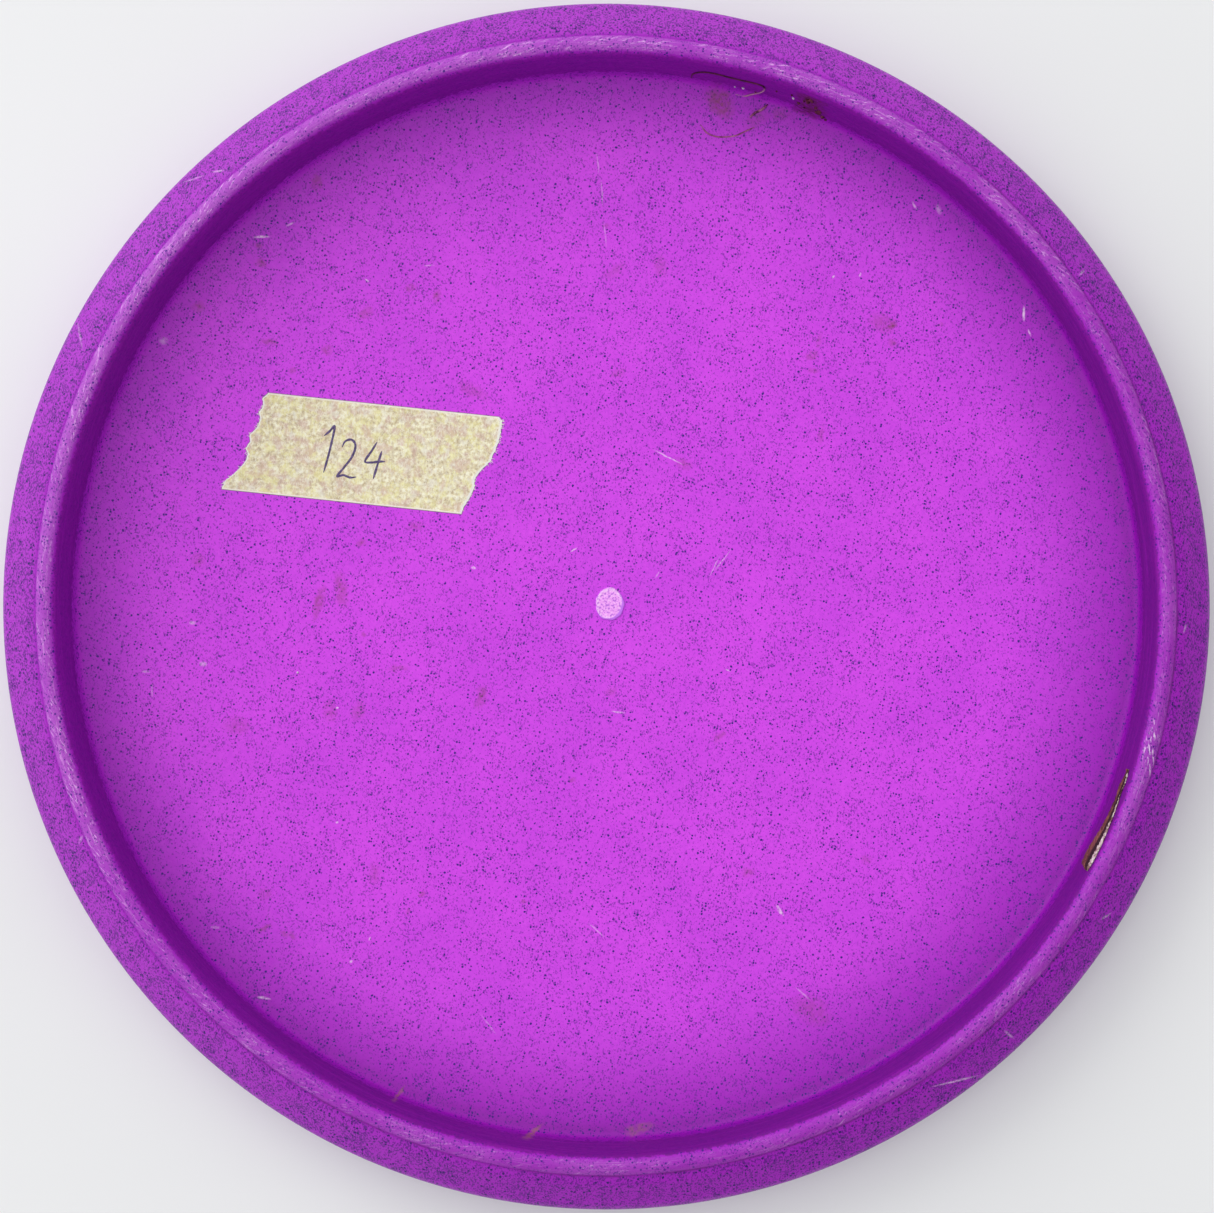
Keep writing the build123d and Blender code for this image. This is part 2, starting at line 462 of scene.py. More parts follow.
def round_the_rim(s, at, lengthwise, across, swirl=0.0):
    """Points for a noise that is stretched round the rim, or aslant to it where swirl isn't 0."""
    outward = at.outward
    if swirl:
        angle = s.math("MULTIPLY", s.math("SUBTRACT", at.radius, BEAD_CENTRE[0]), swirl)
        inputs = {"Vector": outward, "Angle": angle}
        outward = s.node("VectorRotate", inputs, rotation_type="Z_AXIS").outputs["Vector"]
    stretched = s.vector_math("SCALE", outward, scale=lengthwise * DISC_RADIUS)
    depth = s.math("MULTIPLY", s.math("ADD", at.radius, at.height), across)
    lifted = s.node("CombineXYZ", {"Z": depth}).outputs["Vector"]
    return s.vector_math("ADD", stretched, lifted)


def plastic_flecks(s, place, extra):
    """Dark flecks all through the plastic: many faint ones in loose clusters, and fewer dark ones."""
    away = s.turned(place, turn=(0.5, 0.2, 0.3), shift=(0.193, 0.277, 0.117))
    clusters = s.math("SUBTRACT", s.span(s.noise(away, 330), 0.3, 0.7, 0.05, -0.03), extra)
    turned = s.turned(place, turn=(0.4, 0.3, 0.7), scale=(1, 0.7, 0.8), shift=(0.313, 0.177, 0.239))
    faint = s.noise(turned, 3300, roughness=0.6)
    faint = s.span(s.math("SUBTRACT", faint, clusters), 0.54, 0.67, 0.0, 0.66)
    spread = s.cells(s.warped(away, 4200, 0.15 * MM), 2050)
    chance = s.node("SeparateColor", {"Color": spread.outputs["Color"]})
    reach = s.math("ADD", s.span(chance.outputs[0], 0.30, 1.0, 0.06, 0.43), extra)
    single = s.span(s.math("SUBTRACT", reach, spread.outputs["Distance"]), -0.04, 0.06)
    single = s.both(single, s.span(chance.outputs[1], 0.0, 0.8, 0.35, 1.0))
    return s.math("MAXIMUM", faint, single)


class Regions:
    """Where a point of the disc lies, the grain there, and masks of the disc's regions, from 0 to 1."""

    def __init__(self, s):
        self.place = s.place()
        self.height = s.node("SeparateXYZ", {"Vector": self.place}).outputs["Z"]
        flat = s.vector_math("MULTIPLY", self.place, (1, 1, 0))
        self.radius = s.vector_math("LENGTH", flat)
        self.outward = s.vector_math("NORMALIZE", flat)
        self.lit = s.vector_math("DOT_PRODUCT", self.outward, LIT_SIDE)  # from -1 in the shade to 1
        self.grain = s.noise(self.place, 1300, detail=4.0, roughness=0.65)

        self.hollow_side = s.span(self.height, 1.0 * MM, 1.6 * MM)
        above_nose = s.span(self.height, 3 * MM, 9 * MM)
        outside_wall = s.span(self.radius, INNER_RADIUS + 0.1 * MM, INNER_RADIUS + 0.5 * MM)
        self.rim = s.both(outside_wall, above_nose)
        outside_crease = s.span(self.radius, CREASE_RADIUS - 0.2 * MM, CREASE_RADIUS + 0.6 * MM)
        self.slope = s.both(outside_crease, above_nose)
        grainy_wall = s.math("ADD", s.attribute("wall"), s.span(self.grain, 0.35, 0.65, -0.22, 0.22))
        near_wall = s.span(self.radius, INNER_RADIUS - 1.2 * MM, INNER_RADIUS - 0.2 * MM)
        self.wall = s.both(near_wall, s.span(grainy_wall, 0.24, 0.76))
        inner_side = s.span(self.radius, 95.6 * MM, 96.5 * MM)
        outer_side = s.span(self.radius, 98.3 * MM, 98.8 * MM, 1.0, 0.0)
        self.bead = s.both(inner_side, outer_side, self.hollow_side)
        self.plate = s.both(s.span(self.height, 7 * MM, 8 * MM, 1.0, 0.0), self.hollow_side)


def bare_plastic(s, at):
    """The plastic itself: thin and pink in the plate, and deeper in the rim and the wall, partly as painted
    shade; with painted shade in the corner and painted light on the slope's lit side.
    """
    cloud = s.noise(at.place, 60, detail=4.0)
    colour = s.mix(s.span(cloud, 0.3, 0.7), TINT_DEEP, TINT)
    colour = s.mix(s.span(at.grain, 0.46, 0.70, 0.0, 0.17), colour, HAZE)
    colour = s.mix(s.span(at.grain, 0.28, 0.48, 0.25, 0.0), colour, BRIGHT_GRAIN)
    # The rim's tint is deeper, partly for the thicker plastic and partly as painted shade, which also darkens
    # the plate towards the wall; on the side that the sky lights it starts further out, as painted light
    depth = s.span(s.math("MULTIPLY_ADD", at.lit, -6 * MM, at.radius), 76 * MM, 101 * MM)
    colour = s.mix(s.math("MAXIMUM", depth, at.rim), colour, RIM_TINT_AND_SHADE)
    # Painted light: the slope is tinted lighter on the side that the sky lights
    colour = s.mix(s.both(at.slope, s.span(at.lit, -0.9, 0.4, 0.03, 0.16)), colour, SLOPE_PAINTED_LIGHT)
    # The wall's darker tint is partly painted shade, and it is painted darker still on the side away from the
    # sky's light
    colour = s.mix(at.wall, colour, s.mix(s.span(at.lit, -0.8, 0.8), WALL_PAINTED_SHADE, WALL_TINT_AND_SHADE))
    colour = s.mix(s.both(at.wall, s.span(at.grain, 0.35, 0.65, 0.0, 0.35)), colour, WALL_GRAIN)
    # Painted shade in the corner where the plate meets the wall, strongest on the side away from the sky's
    # light
    near_corner = s.span(at.radius, 91.5 * MM, 94 * MM)
    corner_shade = s.both(near_corner, s.span(at.lit, -0.7, 0.5, 0.35, 0.0), at.hollow_side)
    below_bead = s.span(at.height, 12 * MM, 13 * MM, 1.0, 0.0)
    return s.mix(s.both(corner_shade, below_bead), colour, WALL_PAINTED_SHADE)


def worn_plastic(s, at, colour):
    """Pale wear and chips along the bead, paler still as a painted highlight on its lit side and with painted
    shade on its shaded side, and faint streaks round the wall.
    """
    slanting = round_the_rim(s, at, 950, 2300, swirl=22.0)
    aslant = s.noise(slanting, 1.0, detail=4.0, roughness=0.65)
    level = s.noise(round_the_rim(s, at, 160, 4200), 1.0, detail=3.0)
    level_wear = s.span(level, 0.56, 0.72, 0.0, 0.35)
    worn = s.math("MAXIMUM", s.span(aslant, 0.53, 0.72, 0.0, 0.75), level_wear)
    # The wear is painted stronger on the side that the sky lights, partly as a painted highlight
    worn = s.both(worn, s.span(at.lit, -1.0, 1.0, 0.85, 1.35))
    patchy = s.span(s.noise(at.place, 70), 0.35, 0.65, 0.45, 1.0)
    colour = s.mix(s.both(at.bead, s.math("ADD", worn, 0.13), patchy), colour, SCUFF_AND_HIGHLIGHT)
    # Painted shade on the bead's side away from the sky's light
    colour = s.mix(s.both(at.bead, s.span(at.lit, -0.9, 0.4, 0.30, 0.0)), colour, WALL_TINT_AND_SHADE)
    # A painted highlight on the bead's lit side
    colour = s.mix(s.both(at.bead, s.span(at.lit, 0.3, 1.0, 0.0, 0.09)), colour, SCUFF_AND_HIGHLIGHT)
    chipped = s.both(marks(s, at.place, BEAD_CHIPS), at.bead)
    colour = s.mix(s.both(chipped, s.span(aslant, 0.52, 0.63, 0.0, 0.85)), colour, CHIP_PALE)
    streaks = s.noise(round_the_rim(s, at, 45, 1300), 1.0, detail=3.0)
    return s.mix(s.both(at.wall, s.span(streaks, 0.45, 0.75, 0.0, 0.30)), colour, WALL_STREAK)


def flecked_plastic(s, at, colour):
    """The dark flecks, more of them on the slope and fewer on the wall."""
    hidden = s.math("MAXIMUM", s.both(at.wall, 0.45), s.both(at.bead, 0.1))
    flecks = plastic_flecks(s, at.place, s.both(at.slope, 0.075))
    shown = s.both(flecks, s.math("SUBTRACT", 1.0, hidden))
    return s.mix(shown, colour, s.mix(at.slope, FLECK, RIM_FLECK))


def dirty_plastic(s, at, colour):
    """Grime and painted shade in the crease, smudges on the plate, and mud and dust on the wall."""
    # Painted shade in the crease between the lip and the bead, broken up by a grime noise and faded on the
    # side that the sky lights
    crease_gap = s.math("ABSOLUTE", s.math("SUBTRACT", at.radius, CREASE_RADIUS))
    crease = s.both(s.span(crease_gap, 0.05 * MM, 0.4 * MM, 1.0, 0.0), at.hollow_side)
    grime_and_shade = s.span(s.noise(at.place, 160, detail=3.0), 0.3, 0.7, 0.15, 0.5)
    colour = s.mix(s.both(crease, grime_and_shade, s.span(at.lit, -0.2, 0.3, 1.0, 0.12)), colour, CREASE_GRIME_AND_SHADE)

    bent = s.warped(s.warped(at.place, 1400, 0.5 * MM), 300, 0.9 * MM)
    blots = s.span(s.noise(at.place, 1300, detail=3.0), 0.32, 0.6, 0.35, 1.0)
    smudged = marks(s, bent, spread_out(SMUDGES) + WALL_FOOT_SMUDGES)
    colour = s.mix(s.both(smudged, at.plate, blots), colour, SOIL)
    muddy = s.both(s.span(at.height, 16 * MM, 17 * MM, 1.0, 0.0), at.hollow_side)
    colour = s.mix(s.both(marks(s, bent, WALL_MUD), muddy, blots), colour, MUD_STAIN)
    dusty = s.both(s.span(at.height, 8 * MM, 12 * MM, 1.0, 0.0), at.hollow_side)
    return s.mix(s.both(marks(s, bent, WALL_DUST), dusty, blots), colour, DUST)


def scratch_mask(s, at):
    """Pale scratches on the plate and the slope, each broken up along its length."""
    bent = s.warped(at.place, 500, 0.25 * MM)
    broken = s.span(s.noise(at.place, 2300), 0.35, 0.55, 0.3, 1.0)
    on_plate_part = s.both(marks(s, bent, spread_out(SCRATCHES)), at.plate)
    high_up = s.span(at.height, 12.5 * MM, 13.5 * MM)
    on_slope_part = s.both(marks(s, bent, RIM_SCRATCHES), high_up, 0.7)
    return s.both(s.math("MAXIMUM", on_plate_part, on_slope_part), broken)


def gate_colour(s, at):
    """The gate mark's speckled pink, with a brighter outline, and violet beyond its pale part."""
    speck = s.noise(at.place, 2400)
    gate = s.mix(s.span(speck, 0.52, 0.60, 0.0, 0.75), GATE_PINK, GATE_SPECK)
    gate = s.mix(s.span(speck, 0.34, 0.45, 0.7, 0.0), gate, GATE_BRIGHT)
    gate = s.mix(s.both(s.attribute("gate_line"), s.span(speck, 0.4, 0.6, 0.8, 0.2)), gate, GATE_BRIGHT)
    return s.mix(s.span(marks(s, at.place, GATE_PALE), 0.0, 1.0), GATE_SHADE, gate)


def plastic():
    """Moulded purple plastic with dark flecks, worn, scratched and dirty."""
    s = Shader("speckled_purple_plastic", roughness=0.45, specular=0.28)
    at = Regions(s)
    colour = bare_plastic(s, at)
    colour = worn_plastic(s, at, colour)
    colour = flecked_plastic(s, at, colour)
    colour = dirty_plastic(s, at, colour)
    scratched = scratch_mask(s, at)
    colour = s.mix(scratched, colour, SCRATCH_PALE)
    colour = s.mix(s.attribute("gate"), colour, gate_colour(s, at))

    uneven = s.span(s.noise(at.place, 700, detail=4.0), 0.2, 0.8, 0.40, 0.54)
    worn = s.both(s.math("MAXIMUM", scratched, at.bead), 0.08)
    dull = s.math("MAXIMUM", worn, s.both(at.wall, 0.15))
    s.links.new(s.math("ADD", uneven, dull), s.surface.inputs["Roughness"])
    return s.made(colour, s.noise(at.place, 2300, detail=3.0), 0.03 * MM)


# -------- the disc
def arc(centre, radius, start, end, steps):
    """Points on an arc in the section, from one angle to the other, angles from straight out."""
    angles = [mixed(start, end, i / steps) for i in range(steps + 1)]
    return [(centre[0] + radius * cos(a), centre[1] + radius * sin(a)) for a in angles]


def line(start, end, steps):
    """Points evenly along a straight line in the section."""
    shares = [i / steps for i in range(steps + 1)]
    return [(mixed(start[0], end[0], share), mixed(start[1], end[1], share)) for share in shares]


def bend(start, leaving, end, arriving, steps):
    """Points on a curve that leaves and arrives in the directions given, whose lengths are its pull."""
    points = []
    for i in range(steps + 1):
        t = i / steps
        a, b, c, d = 2 * t**3 - 3 * t**2 + 1, t**3 - 2 * t**2 + t, -2 * t**3 + 3 * t**2, t**3 - t**2
        points.append(tuple(a * start[k] + b * leaving[k] + c * end[k] + d * arriving[k] for k in (0, 1)))
    return points


def rim_section():
    """The half section as (radius, height), from the outer face round the rim to the underside's middle."""
    turn = DISC_RADIUS - FLAT_RADIUS - NOSE_RADIUS
    shoulder_angle = 2 * atan((NOSE_HEIGHT - NOSE_RADIUS) / turn)
    shoulder_radius = turn / sin(shoulder_angle) + NOSE_RADIUS
    crease_rise = (BEAD_RADIUS**2 - BEAD_OVERHANG**2) ** 0.5
    crease = (CREASE_RADIUS, BEAD_CENTRE[1] + crease_rise)
    lip_centre = (crease[0] - LIP_RADIUS * sin(LIP_ANGLE), crease[1] - LIP_RADIUS * cos(LIP_ANGLE))
    fillet_centre = (INNER_RADIUS - CORNER_FILLET, CORNER_HEIGHT + FILLET_RISE)

    section = line((2.0 * MM, 0), (FLAT_RADIUS, 0), 8)
    shoulder = arc((FLAT_RADIUS, shoulder_radius), shoulder_radius, -pi / 2, -pi / 2 + shoulder_angle, 10)
    nose = arc((DISC_RADIUS - NOSE_RADIUS, NOSE_HEIGHT), NOSE_RADIUS, -pi / 2 + shoulder_angle, 0, 14)
    edge = arc((DISC_RADIUS - EDGE_RADIUS, NOSE_HEIGHT), EDGE_RADIUS, 0, pi / 2 - SLOPE_ANGLE, 9)
    lip = arc(lip_centre, LIP_RADIUS, pi / 2 - SLOPE_ANGLE, pi / 2 - LIP_ANGLE, 6)
    slope = line(edge[-1], lip[0], 5)
    bead = arc(BEAD_CENTRE, BEAD_RADIUS, atan2(crease_rise, BEAD_OVERHANG), pi, 18)
    wall = line(bead[-1], (INNER_RADIUS, fillet_centre[1]), 8)
    fillet = arc(fillet_centre, CORNER_FILLET, 0, -pi / 2 + UNDERSIDE_ANGLE, 6)
    reach = fillet[-1][0] - FLAT_RADIUS
    leaving = (-reach * cos(UNDERSIDE_ANGLE), -reach * sin(UNDERSIDE_ANGLE))
    dome = bend(fillet[-1], leaving, (FLAT_RADIUS, PLATE_HEIGHT), (-reach, 0), 10)
    plate = line(dome[-1], (4.0 * MM, PLATE_HEIGHT), 12)
    middle = line(plate[-1], (0.15 * MM, PLATE_HEIGHT), 26)

    for run in (shoulder, nose, edge, slope, lip, bead, wall, fillet, dome, plate, middle):
        section += run[1:]
    return section


def gate_relief(x, y):
    """How far a point lies inside the gate mark, from 0 outside to 1, and how near it is to its outline."""
    angle = atan2(y, x)
    lobes = 1 + 0.02 * cos(3 * angle + 0.6) + 0.02 * cos(5 * angle - 1.1) + 0.015 * cos(9 * angle)
    edge = lobes / hypot(cos(angle) / (GATE_WIDTH / 2), sin(angle) / (GATE_LENGTH / 2))
    gap = edge - hypot(x, y)
    inside = eased(-0.08 * MM, 0.12 * MM, gap)
    outline = 1 - eased(0.1 * MM, 0.5 * MM, abs(gap - 0.25 * MM))
    return inside, outline * inside


def make_disc():
    """The one-piece moulding, turned from its section, with the gate mark raised at its middle."""
    steps = 640
    section = rim_section()
    points, gate, gate_line, wall = [], [], [], []
    for radius, height in section:
        is_wall = radius < INNER_RADIUS + BEAD_RADIUS and height > CORNER_HEIGHT
        below_top = 1 - eased(17.7 * MM, 18.6 * MM, height)
        wall_share = eased(4.8 * MM, 9.5 * MM, height) * below_top * is_wall
        is_bead = radius > INNER_RADIUS - 0.1 * MM and height > 17.4 * MM
        for i in range(steps):
            angle = 2 * pi * i / steps
            x, y = radius * cos(angle), radius * sin(angle)
            inside, outline = 0.0, 0.0
            if radius < 4.2 * MM and height > PLATE_HEIGHT / 2:
                inside, outline = gate_relief(x, y)
            rise = inside * (GATE_RISE + 0.05 * MM * rough(x * 900, y * 900, 0, 3)) + outline * 0.05 * MM
            if is_bead:
                rise += 0.03 * MM * rough(x * 260, y * 260, height * 400, 4)
            points.append((x, y, height + rise))
            gate.append(inside)
            gate_line.append(outline)
            wall.append(wall_share)
    faces = ring_quads(len(section), steps) + end_caps(len(section), steps)
    disc = add_mesh("disc_moulding", points, faces, plastic(), gate=gate, gate_line=gate_line, wall=wall)
    disc.data.set_sharp_from_angle(angle=radians(32))
    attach(disc, "root")
    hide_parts("disc_body")


# -------- the tape
def tape_point(u, v, height):
    """A point given along the tape, across it and above the plate, in the part's frame."""
    x = TAPE_CENTRE.x + u * cos(TAPE_TURN) - v * sin(TAPE_TURN)
    y = TAPE_CENTRE.y + u * sin(TAPE_TURN) + v * cos(TAPE_TURN)
    return Vector((x, y, PLATE_HEIGHT + height))


def torn_edge(tear, v, seed):
    """How far along the tape a torn end lies, at a distance across it, with a ragged paper edge."""
    route = [(across, reach) for reach, across in tear]
    ragged = 0.14 * rough(0, v / MM * 1.3, 0, seed) + 0.10 * rough(0, v / MM * 4.1, 0, seed + 1)
    return (along(route, v / MM) + ragged) * MM


def crepe(u, v):
    """The height of the crepe paper's fine wrinkles, which run across the tape."""
    wrinkle = rough(u / MM * 1.7, v / MM * 0.28, 0, 5) + 0.5 * rough(u / MM * 3.6, v / MM * 0.6, 0, 6)
    lift = 0.6 * rough(u / MM * 0.12, v / MM * 0.15, 0, 7)
    return (wrinkle + lift) * 0.018 * MM


def tape_paper():
    """Straw-coloured crepe paper: blotched where the glue shows, fibrous, and white where it is torn."""
    s = Shader("crepe_masking_tape", roughness=0.8, specular=0.25)
    place = s.turned(s.place(), turn=(0, 0, -TAPE_TURN))
    fine = s.noise(place, 1500, detail=3.0, roughness=0.6)
    colour = s.ramp(fine, [(0.34, (0.55, 0.44, 0.28)), (0.5, (0.80, 0.70, 0.46)), (0.64, (1.0, 0.96, 0.74))])
    # Yellow, tan and pale blotches
    for shift, scale, detail, low, high, share, tint in (
        ((0.3, 0, 0), 640, 3.0, 0.45, 0.62, 0.55, (0.88, 0.82, 0.36)),
        ((0, 0.3, 0), 520, 4.0, 0.48, 0.64, 0.56, (0.66, 0.43, 0.40)),
        ((0, 0, 0.3), 620, 2.0, 0.55, 0.72, 0.60, (0.88, 0.84, 0.73)),
    ):
        blotch = s.noise(s.turned(place, shift=shift), scale, detail=detail)
        colour = s.mix(s.span(blotch, low, high, 0.0, share), colour, tint)
    swirl = s.warped(s.turned(place, scale=(1, 0.45, 1)), 700, 0.6 * MM)
    ridge = s.math("ABSOLUTE", s.math("SUBTRACT", s.noise(swirl, 2200, detail=1.0), 0.5))
    fibres = s.span(ridge, 0.0, 0.06, 1.0, 0.0)
    colour = s.mix(s.both(fibres, 0.6), colour, (0.97, 0.94, 0.78))
    dips = s.span(s.noise(s.turned(place, scale=(1, 0.3, 1)), 2600), 0.55, 0.75, 0.0, 0.3)
    colour = s.mix(dips, colour, (0.50, 0.37, 0.24))
    colour = s.mix(s.both(s.attribute("side"), 0.85), colour, (0.98, 0.92, 0.82))
    colour = s.mix(s.attribute("torn"), colour, (0.95, 0.93, 0.88))
    # A dark seam of glue round the tape's foot, darkened as a painted contact shadow
    colour = s.mix(s.attribute("glue_shadow"), colour, (0.07, 0.01, 0.10))
    return s.made(colour, s.math("ADD", s.both(fibres, 0.5), fine), 0.05 * MM)


def make_tape():
    """The strip of tape: a grid between its torn ends, wrinkled on top, with a wider, dark seam of glue below
    that stands in as painted shadow round the tape's foot.
    """
    rows, columns = 120, 250
    # How far the dark glue seam, a painted shadow, reaches beyond the tape
    glue_shadow_margin = 0.15 * MM
    top, bottom, torn, side = [], [], [], []
    for j in range(rows + 1):
        v = -TAPE_WIDTH / 2 * cos(pi * j / rows)
        left = torn_edge(LEFT_TEAR, v, 11)
        right = torn_edge(RIGHT_TEAR, v, 23)
        for i in range(columns + 1):
            share = (1 - cos(pi * i / columns)) / 2
            u = mixed(left, right, share)
            end_gap = min(u - left, right - u)
            edge_gap = TAPE_WIDTH / 2 - abs(v)
            thin = eased(0.0, 0.35 * MM, end_gap)
            height = TAPE_THICKNESS * mixed(0.6, 0.92, thin) + crepe(u, v) * thin
            top.append(tape_point(u, v, height))
            glue_u = mixed(left - glue_shadow_margin, right + glue_shadow_margin, share)
            bottom.append(tape_point(glue_u, v * (1 + 2 * glue_shadow_margin / TAPE_WIDTH), 0.01 * MM))
            fringe = (0.55 if u > 0 else 0.30) * MM
            torn.append(1 - eased(0.3 * fringe, fringe, end_gap))
            side.append(1 - eased(0.08 * MM, 0.34 * MM, edge_gap))
    width = columns + 1
    count = len(top)
    faces = []
    for j in range(rows):
        for i in range(columns):
            a = j * width + i
            faces.append((a, a + 1, a + 1 + width, a + width))
            faces.append((count + a, count + a + width, count + a + 1 + width, count + a + 1))
    edge = list(range(width))
    edge += [j * width + columns for j in range(1, rows + 1)]
    edge += [rows * width + i for i in range(columns - 1, -1, -1)]
    edge += [j * width for j in range(rows - 1, 0, -1)]
    for a, b in zip(edge, edge[1:] + edge[:1]):
        faces.append((a, count + a, count + b, b))
    none, full = [0.0] * count, [1.0] * count
    painted = {"torn": torn + none, "side": side + none, "glue_shadow": none + full}
    tape = add_mesh("tape_strip", top + bottom, faces, tape_paper(), **painted)
    tape.data.set_sharp_from_angle(angle=radians(50))
    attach(tape, "root")
    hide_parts("tape_label")


# -------- strands: pen strokes, roots and a twig
def smooth_route(knots, steps):
    """Points on a smooth curve through the knots, which are vectors."""
    ends = [2 * knots[0] - knots[1], *knots, 2 * knots[-1] - knots[-2]]
    points = []
    for a, b, c, d in zip(ends, ends[1:], ends[2:], ends[3:]):
        for i in range(steps):
            t = i / steps
            square = (a - 2.5 * b + 2 * c - d / 2) * t**2
            cube = (1.5 * (b - c) + (d - a) / 2) * t**3
            points.append(b + (c - a) * t / 2 + square + cube)
    return points + [knots[-1]]


def strand(points, ups, width, thickness, seed, first):
    """Points, faces and shares of the length of a closed strand, oval in section, thinner at its ends."""
    sides = 8
    made, shares = [], []
    last = len(points) - 1
    for i, point in enumerate(points):
        ahead = (points[min(i + 1, last)] - points[max(i - 1, 0)]).normalized()
        across = ahead.cross(ups[i]).normalized()
        up = across.cross(ahead)
        share = i / last
        taper = min(1.0, 0.35 + 6 * share, 0.35 + 6 * (1 - share))
        swell = taper * (1 + 0.28 * rough(i * 0.37, 0, 0, seed))
        for k in range(sides):
            turn = 2 * pi * k / sides
            sideways = across * (width / 2 * swell * cos(turn))
            made.append(point + sideways + up * (thickness / 2 * swell * sin(turn)))
            shares.append(share)
    faces = ring_quads(len(points), sides, first) + end_caps(len(points), sides, first)
    return made, faces, shares


def add_strands(name, runs, width, thickness, material):
    """One piece of several strands, each a smooth route of (point, the surface's direction) knots."""
    points, faces, shares = [], [], []
    for seed, knots in enumerate(runs):
        route = smooth_route([knot[0] for knot in knots], 10)
        ups = smooth_route([knot[1] for knot in knots], 10)
        more, more_faces, more_shares = strand(route, ups, width, thickness, seed, first=len(points))
        points += more
        faces += more_faces
        shares += more_shares
    piece = add_mesh(name, points, faces, material, along=shares)
    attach(piece, "root")
    return piece


def on_plate(x, y, gap=0.1):
    """A place on the plate's underside, which is level and then gently domed, and the direction out of it."""
    share = max(0.0, hypot(x, y) * MM - FLAT_RADIUS) / (INNER_RADIUS - CORNER_FILLET - FLAT_RADIUS)
    height = PLATE_HEIGHT + DOME_RISE * share**DOME_POWER
    return Vector((x * MM, y * MM, height + gap * MM)), UP


def on_wall(turn, height, gap=0.12):
    """A place on the inner wall, by its angle in degrees and height in mm, and the direction out of it."""
    out = Vector((cos(radians(turn)), sin(radians(turn)), 0))
    above = max(0.0, height * MM - BEAD_CENTRE[1])
    wall_radius = BEAD_CENTRE[0] - max(BEAD_RADIUS**2 - above**2, 0.0) ** 0.5
    return out * (wall_radius - gap * MM) + Vector((0, 0, height * MM)), -out


# A plain handwritten number, as pen strokes of (along the tape, across the tape) in mm
PEN_STROKES = [
    [(-6.9, 2.4), (-6.0, 3.3), (-5.2, 4.3), (-5.4, 1.6), (-5.8, -1.4), (-6.3, -4.2)],
    [(-3.5, 0.7), (-3.0, 1.8), (-1.9, 2.2), (-1.1, 1.2), (-1.5, -0.8), (-2.8, -3.0),
     (-3.8, -4.6), (-2.7, -4.3), (-1.5, -4.6), (-0.4, -4.4)],
    [(2.7, 2.3), (1.9, 0.6), (0.9, -1.4), (2.1, -1.5), (3.4, -1.2), (4.5, -1.1)],
    [(3.7, 0.7), (3.2, -1.8), (2.7, -4.4)],
]


def ink():
    """Ballpoint ink: dark violet-blue, thin in places, with a dull shine."""
    s = Shader("ballpoint_ink", roughness=0.45, specular=0.4)
    skips = s.noise(s.place(), 2400, detail=3.0)
    tones = [(0.35, (0.05, 0.028, 0.10)), (0.58, (0.11, 0.068, 0.21)), (0.74, (0.28, 0.20, 0.34))]
    return s.made(s.ramp(skips, tones), skips, 0.01 * MM)


def make_pen_number():
    """The pen strokes lie on the tape's crepe."""
    height = TAPE_THICKNESS + 0.005 * MM
    runs = [[(tape_point(u * MM, v * MM, height), UP) for u, v in stroke] for stroke in PEN_STROKES]
    number = add_strands("pen_number", runs, 0.40 * MM, 0.05 * MM, ink())


def paper_fibre():
    """Loose white paper fibres."""
    s = Shader("torn_paper_fibre", roughness=0.85, specular=0.2)
    tone = s.noise(s.place(), 1800)
    return s.made(s.ramp(tone, [(0.3, (0.78, 0.72, 0.62)), (0.6, (0.93, 0.91, 0.86))]), tone, 0.01 * MM)


def make_torn_fibres():
    """Fine fibres that stick out of both torn ends of the tape."""
    chance = random.Random(7)
    runs = []
    for tear, seed, side in ((LEFT_TEAR, 11, -1), (RIGHT_TEAR, 23, 1)):
        for _ in range(46):
            v = chance.uniform(-0.98, 0.98) * TAPE_WIDTH / 2
            u = torn_edge(tear, v, seed)
            reach = chance.uniform(0.25, 0.6) * MM * side
            drift = chance.uniform(-0.35, 0.35) * MM
            knots = []
            for share in (-0.4, 0.2, 0.6, 1.0):
                height = mixed(0.09, 0.03, max(share, 0)) * MM
                point = tape_point(u + reach * share, v + drift * share * abs(share), height)
                knots.append((point, UP))
            runs.append(knots)
    fibres = add_strands("torn_tape_fibres", runs, 0.07 * MM, 0.03 * MM, paper_fibre())


# -------- what the field left in the hollow
def root_fibre():
    """Dry root: dark brown, and paler where its skin has rubbed off."""
    s = Shader("dry_root_fibre", roughness=0.75, specular=0.3)
    place = s.place()
    skin = s.noise(place, 900, detail=3.0)
    dark = s.ramp(skin, [(0.35, (0.045, 0.004, 0.022)), (0.7, (0.17, 0.022, 0.07))])
    bare = s.span(s.attribute("along"), 0.62, 0.70, 0.0, 0.85)
    return s.made(s.mix(bare, dark, (0.56, 0.25, 0.42)), skin, 0.06 * MM)


def straw_fibre():
    """Red-brown plant fibre with darker joints."""
    s = Shader("dry_straw_fibre", roughness=0.75, specular=0.3)
    tone = s.noise(s.place(), 700, detail=3.0)
    tones = [(0.42, (0.06, 0.006, 0.03)), (0.5, (0.32, 0.07, 0.20)), (0.65, (0.50, 0.18, 0.32))]
    return s.made(s.ramp(tone, tones), tone, 0.05 * MM)


